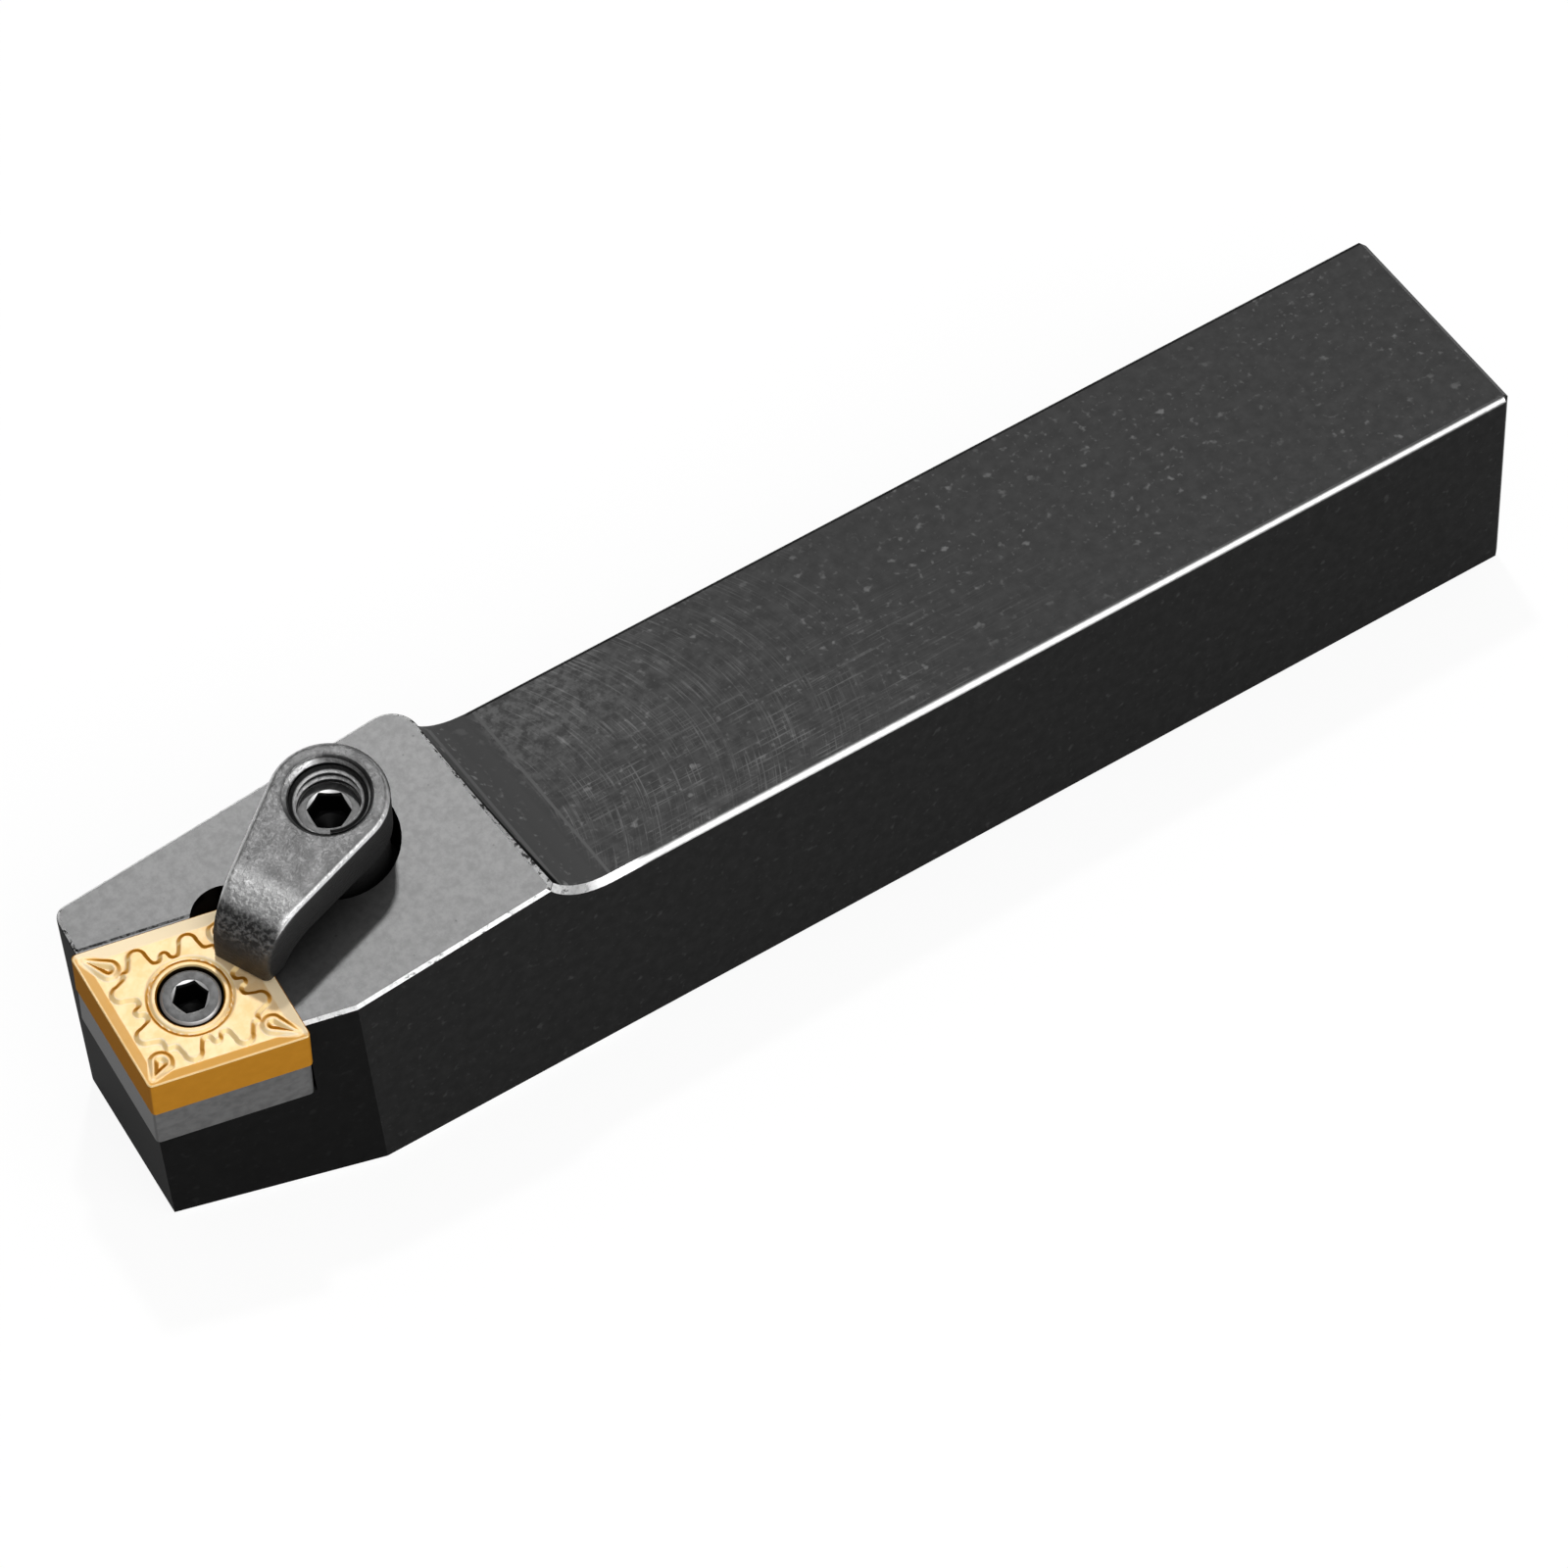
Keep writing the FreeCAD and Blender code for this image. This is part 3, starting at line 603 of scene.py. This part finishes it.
bmesh.ops.translate(pressed, verts=turned_over, vec=(0.0, 0.0, 2.0 * half_way))
bmesh.ops.remove_doubles(pressed, verts=pressed.verts, dist=1e-4)
bmesh.ops.recalc_face_normals(pressed, faces=pressed.faces)


def off_axis(tree, place, point):
    """Positions off the line through a point along the seat's normal, turned a quarter about it."""
    offset = add(tree, "VectorMath", {0: place, 1: tuple(point / mm)}, operation="SUBTRACT")
    inputs = {0: offset.outputs["Vector"], 1: tuple(seat_up)}
    return add(tree, "VectorMath", inputs, operation="CROSS_PRODUCT").outputs["Vector"]


def length_of(tree, vector):
    return add(tree, "VectorMath", {0: vector}, operation="LENGTH").outputs["Value"]


# The coating's colour is painted light and shade by how a face is turned on the seat. Faces that
# look towards the cutting corner are painted palest, as lit, then the level ones. Those that look
# away from it get painted shade, honey where the slope is gentle and deep gold where it is steep,
# like the sides, and faces towards the cutting end are painted darkest.
coating, tree, shader, place, facing = start_finish("gold_coating")
painted_lit_gold = (1.0, 0.84, 0.58, 1.0)
painted_wall_light_gold = (1.0, 0.76, 0.38, 1.0)
painted_shade_gold = (0.78, 0.42, 0.10, 1.0)
painted_deep_shade_gold = (0.42, 0.17, 0.016, 1.0)
painted_end_shade_gold = (0.30, 0.14, 0.035, 1.0)
edge_highlight_gold = (1.0, 0.94, 0.82, 1.0)
bore_shadow = (0.02, 0.012, 0.004, 1.0)
faces_front = along(tree, facing, -seat_across)
faces_left = along(tree, facing, -main_edge)
face_up = number(tree, "ABSOLUTE", along(tree, facing, seat_up))
painted_light_level = number(tree, "MULTIPLY_ADD", faces_front, 0.38, face_up)
painted_light_level = number(tree, "MULTIPLY_ADD", faces_left, 0.24, painted_light_level)
grained = ramp(tree, noise(tree, place, 0.8, 5.0), 0.3, 0.7)
level_gold = blend(tree, grained, (0.83, 0.57, 0.28, 1.0), (0.90, 0.69, 0.42, 1.0))
level_gold = blend(tree, ramp(tree, painted_light_level, 1.005, 1.06), level_gold, painted_lit_gold)
outwards = highest(tree, faces_front, faces_left)
lit_outer_wall = product(tree, ramp(tree, outwards, 0.2, 0.4), falling(tree, face_up, 0.86, 0.94))
level_gold = blend(tree, lit_outer_wall, level_gold, painted_wall_light_gold)
side_gold = blend(tree, noise(tree, place, 1.0, 4.0), (0.52, 0.23, 0.028, 1.0), (0.62, 0.29, 0.038, 1.0))
shade_towards_end = ramp(tree, along(tree, facing, (-1.0, 0.0, 0.0)), 0.6, 0.9)
side_gold = blend(tree, shade_towards_end, side_gold, painted_end_shade_gold)
deep_gold_and_shade = blend(tree, ramp(tree, face_up, 0.4, 0.7), side_gold, painted_deep_shade_gold)
gold = blend(tree, ramp(tree, painted_light_level, 0.85, 0.95), painted_shade_gold, level_gold)
gold = blend(tree, ramp(tree, painted_light_level, 0.66, 0.86), deep_gold_and_shade, gold)
# A painted highlight on the rolled edges
edge_highlight = near(tree, face_up, 0.42, 0.22)
gold = blend(tree, edge_highlight, gold, edge_highlight_gold)
from_axis = length_of(tree, off_axis(tree, place, seat_centre))
bore_edge = insert_bore / 2.0
in_bore = product(tree, falling(tree, from_axis, bore_edge + 0.04, bore_edge + 0.14),
                  falling(tree, face_up, 0.5, 0.9))
gold = blend(tree, in_bore, gold, bore_shadow)
tree.links.new(gold, shader.inputs["Base Color"])
shader.inputs["Metallic"].default_value = 0.5
shader.inputs["Roughness"].default_value = 0.5
shader.inputs["Specular Tint"].default_value = (0.8, 0.5, 0.2, 1.0)
shader.inputs["Specular IOR Level"].default_value = 0.0
stand_in("insert_pressed", pressed, seat, coating, "holder", "insert")

# Lock pin. A blackened pin whose head fills the insert's bore, with a collar in the shim and a
# thread into the holder body. It was turned, and its socket was broached after the countersink.
countersink_wider = 0.02
countersink_slope = 0.6
turned_edge = 0.05


def blackened_screw(name, centre, top):
    """Dark steel, with a painted highlight on its rounded rims and painted shade down the socket, for a
    screw along the seat's normal.
    """
    finish, tree, shader, place, facing = start_finish(name)
    level = number(tree, "SUBTRACT", beyond(tree, place, seat_up, centre), top)
    wear = ramp(tree, noise(tree, place, 2.0, 5.0), 0.3, 0.7)
    colour = blend(tree, wear, grey(0.06), grey(0.1))
    # A painted highlight on the rounded rims
    rounded_highlight = near(tree, along(tree, facing, seat_up), 0.7, 0.28)
    colour = blend(tree, rounded_highlight, colour, grey(0.8))
    # Painted shade down the socket
    colour = blend(tree, ramp(tree, level, -0.75, -0.4), grey(0.006), colour)
    tree.links.new(colour, shader.inputs["Base Color"])
    shader.inputs["Metallic"].default_value = 0.9
    shader.inputs["Roughness"].default_value = 0.45
    return finish


def hexagon(flats):
    """Reach of a hexagon with a corner at turn zero."""
    def at(turn):
        return flats / 2.0 / math.cos(turn % math.radians(60.0) - math.radians(30.0))
    return at


def socket_screw(profile, flats, depth):
    """A turned piece from (radius, height) points, top rim first, with a countersunk socket."""
    mesh = bmesh.new()
    radius, top = profile[0]
    bmesh.ops.create_circle(mesh, cap_ends=False, radius=radius, segments=240)
    bmesh.ops.translate(mesh, verts=mesh.verts, vec=(0.0, 0.0, top))
    rim = list(mesh.edges)
    loop = rim
    for radius, height in profile[1:]:
        loop = grown(mesh, loop, ring(radius, height))
    bmesh.ops.contextual_create(mesh, geom=loop)
    reach = hexagon(flats)
    mouth = flats / math.sqrt(3.0) + countersink_wider
    drill_radius = flats * 0.45
    drill_point = flats * 0.25
    loop = grown(mesh, rim, ring(mouth, top))
    loop = grown(mesh, loop, ring(reach, lambda turn: top - (mouth - reach(turn)) * countersink_slope))
    loop = grown(mesh, loop, ring(reach, top - depth))
    loop = grown(mesh, loop, ring(drill_radius, top - depth))
    loop = grown(mesh, loop, ring(0.05, top - depth - drill_point))
    bmesh.ops.contextual_create(mesh, geom=loop)
    bmesh.ops.recalc_face_normals(mesh, faces=mesh.faces)
    creases = [edge for edge in mesh.edges if len(edge.link_faces) == 2 and edge.calc_face_angle() > 0.5]
    bmesh.ops.bevel(mesh, geom=creases, offset=turned_edge, offset_type="OFFSET", segments=3, profile=0.5,
                    affect="EDGES", material=-1, clamp_overlap=True)
    return mesh


insert_low_face = -insert_thickness / mm
shim_thickness = 4.76
pin_gap = 0.23
pin_head = insert_bore / 2.0 - pin_gap
pin_collar = 3.6
pin_thread = 3.0
pin_sunk = 0.12
pin_in_body = 6.8
collar_sunk = 0.1
collar_height = 0.8
pin_chamfer = 0.2
pin_end_chamfer = 0.5
pin_top = -pin_sunk
pin_end = insert_low_face - shim_thickness - pin_in_body
collar_top = insert_low_face - collar_sunk
collar_low = collar_top - collar_height
collar_cone = collar_low - (pin_collar - pin_thread)
pin_profile = [(pin_head - pin_chamfer, pin_top), (pin_head, pin_top - pin_chamfer),
               (pin_head, collar_top), (pin_collar, collar_top),
               (pin_collar, collar_low), (pin_thread, collar_cone),
               (pin_thread, pin_end + pin_end_chamfer), (pin_thread - pin_end_chamfer, pin_end)]
pin = socket_screw(pin_profile, flats=2.5, depth=3.2)
pin_steel = blackened_screw("pin_steel", seat_centre, pin_top)
stand_in("lock_pin_turned", pin, seat, pin_steel, "holder", "lock_pin")

# Clamp screw. Double-ended, with a left-hand thread in the clamp and a right-hand one in the body.
# It stands below the clamp's top, so the turns of the clamp's own thread show above it.
post_place = Vector((14.4, 9.4, 0.0))
arm_turn = math.radians(220.0)
post = seat @ Matrix.Translation(post_place) @ Matrix.Rotation(arm_turn, 4, "Z")
clamp_height = 6.4
screw_sunk = 2.3
screw_length = 20.0
neck_length = 1.6
neck_radius = 2.35
screw_top = clamp_height - screw_sunk
screw_end = screw_top - screw_length
neck_high = (screw_top + screw_end + neck_length) / 2.0
neck_low = neck_high - neck_length
screw_chamfer = 0.1
thread_pitch = 1.0
thread_crest = 2.98
thread_core = 2.46
screw_profile = [(thread_core - screw_chamfer, screw_top), (thread_core, screw_top - screw_chamfer),
                 (thread_core, neck_high), (neck_radius, neck_high - screw_chamfer),
                 (neck_radius, neck_low + screw_chamfer), (thread_core, neck_low),
                 (thread_core, screw_end + screw_chamfer), (thread_core - screw_chamfer, screw_end)]
screw = socket_screw(screw_profile, flats=3.0, depth=3.0)


def thread(root, crest, low, high, hand):
    """A closed V-shaped ridge wound from one height up to another, left-handed where hand is -1."""
    mesh = bmesh.new()
    overlap = 0.1
    sunk = root + overlap if root > crest else root - overlap
    half_root = 0.37
    half_crest = 0.06
    outline = [(sunk, -half_root), (crest, -half_crest), (crest, half_crest), (sunk, half_root)]
    corners = [mesh.verts.new((radius, 0.0, low + offset)) for radius, offset in outline]
    section = [mesh.edges.new((corners[k - 1], corners[k])) for k in range(4)]
    bmesh.ops.contextual_create(mesh, geom=section)
    steps_per_turn = 72
    steps = round((high - low) / thread_pitch * steps_per_turn)
    spun = bmesh.ops.spin(mesh, geom=section, cent=(0.0, 0.0, 0.0), axis=(0.0, 0.0, 1.0),
                          dvec=(0.0, 0.0, thread_pitch / steps_per_turn), steps=steps,
                          angle=hand * 2.0 * math.pi * steps / steps_per_turn)
    end = [part for part in spun["geom_last"] if isinstance(part, bmesh.types.BMEdge)]
    bmesh.ops.contextual_create(mesh, geom=end)
    bmesh.ops.recalc_face_normals(mesh, faces=mesh.faces)
    return mesh


def join_to(mesh, other):
    """Add another mesh's faces to a mesh."""
    passed = bpy.data.meshes.new("passed")
    other.to_mesh(passed)
    other.free()
    mesh.from_mesh(passed)
    bpy.data.meshes.remove(passed)


plain_by_neck = 0.4
plain_end = 0.5
left_hand_low = neck_high + plain_by_neck
left_hand_high = screw_top - plain_end
right_hand_low = screw_end + plain_end
right_hand_high = neck_low - plain_by_neck
join_to(screw, thread(thread_core, thread_crest, left_hand_low, left_hand_high, hand=-1))
join_to(screw, thread(thread_core, thread_crest, right_hand_low, right_hand_high, hand=1))
screw_steel = blackened_screw("screw_steel", post.translation, screw_top)
stand_in("clamp_screw_turned", screw, post, screw_steel, "screw", "clamp_screw")

# Clamp. A forged steel bridge, bright on top and darker on its sides, with painted highlights round
# its arm's bend and along its rounded upper edges and painted shade on its nose: a boss that is
# threaded on the screw, and an arm whose foot presses on the insert.
forged, tree, shader, place, facing = start_finish("forged_steel")
arm = post.to_3x3() @ Vector((1.0, 0.0, 0.0))
arm.normalize()
arm_side = post.to_3x3() @ Vector((0.0, 1.0, 0.0))
arm_side.normalize()

# Along the arm, from the screw's axis: a painted highlight round its bend, and painted shade from
# the nose down to the foot
bend = 9.9
nose = 10.2
foot = 12.8
from_post = beyond(tree, place, arm, post.translation)
face_up = along(tree, facing, seat_up)
endways = number(tree, "ABSOLUTE", along(tree, facing, arm))
# A painted highlight along the rounded upper edges
rounded_highlight = product(tree, near(tree, face_up, 0.62, 0.32), falling(tree, endways, 0.35, 0.6))
blotch = ramp(tree, noise(tree, place, 0.8, 4.0, 0.6), 0.35, 0.68)
pitted = ramp(tree, noise(tree, place, 2.8, 4.0, 0.6), 0.4, 0.68)
bright = blend(tree, blotch, grey(0.18), grey(0.28))
bend_highlight = blend(tree, pitted, grey(0.34), grey(0.55))
bright = blend(tree, near(tree, from_post, bend, 2.0), bright, bend_highlight)
nose_shade = blend(tree, pitted, grey(0.04), grey(0.2))
nose_shade = blend(tree, ramp(tree, from_post, foot, foot + 0.8), nose_shade, grey(0.03))
upper = blend(tree, ramp(tree, from_post, nose, nose + 1.8), bright, nose_shade)
colour = blend(tree, ramp(tree, face_up, 0.1, 0.55), grey(0.1), upper)
colour = blend(tree, rounded_highlight, colour, grey(1.0))

# The boss's bore: its thread's crests are light with painted shade between them, and the funnel
# above has bands of painted shade where the thread's grooves run into it
bore_root = 3.05
bore_crest = 2.53
funnel_edge = bore_root + 0.01
groove_shade_pitch = 0.6
around_post = off_axis(tree, place, post.translation)
from_axis = length_of(tree, around_post)
bore_crests_and_shade = blend(tree, ramp(tree, from_axis, bore_crest + 0.09, bore_crest + 0.27), grey(0.5), grey(0.02))
outside_bore = ramp(tree, from_axis, funnel_edge, funnel_edge + 0.06)
colour = blend(tree, outside_bore, bore_crests_and_shade, colour)
turn_at = number(tree, "ARCTAN2", along(tree, around_post, arm), along(tree, around_post, arm_side))
height_in_turns = number(tree, "DIVIDE", beyond(tree, place, seat_up, post.translation), groove_shade_pitch)
turns = number(tree, "MULTIPLY_ADD", turn_at, 0.5 / math.pi, height_in_turns)
groove_shade = near(tree, number(tree, "FRACT", turns), 0.5, 0.3)
in_funnel = product(tree, outside_bore, ramp(tree, from_axis, 3.3, 3.9, 0.9, 0.0))
colour = blend(tree, product(tree, groove_shade, in_funnel), colour, grey(0.02))
tree.links.new(colour, shader.inputs["Base Color"])
tree.links.new(ramp(tree, rounded_highlight, 0.0, 1.0, 0.5, 0.36), shader.inputs["Roughness"])
shader.inputs["Metallic"].default_value = 1.0
shader.inputs["Specular Tint"].default_value = grey(0.6)
dents = number(tree, "ADD", noise(tree, place, 2.2, 4.0), number(tree, "MULTIPLY", pitted, 0.4))
dented = add(tree, "Bump", {"Height": dents, "Strength": 0.5, "Distance": 0.14 * mm})
tree.links.new(dented.outputs[0], shader.inputs["Normal"])
dress("clamp", forged)

# The boss's thread starts about half a turn above the screw's, so that the two mesh
boss_low = -4.5
boss_thread_low = boss_low + 0.4
boss_thread_high = clamp_height - 0.6
boss_thread = thread(bore_root, bore_crest, boss_thread_low, boss_thread_high, hand=-1)
thread_piece = put_in_place("clamp_thread", boss_thread, post, forged)
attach(thread_piece, "clamp")
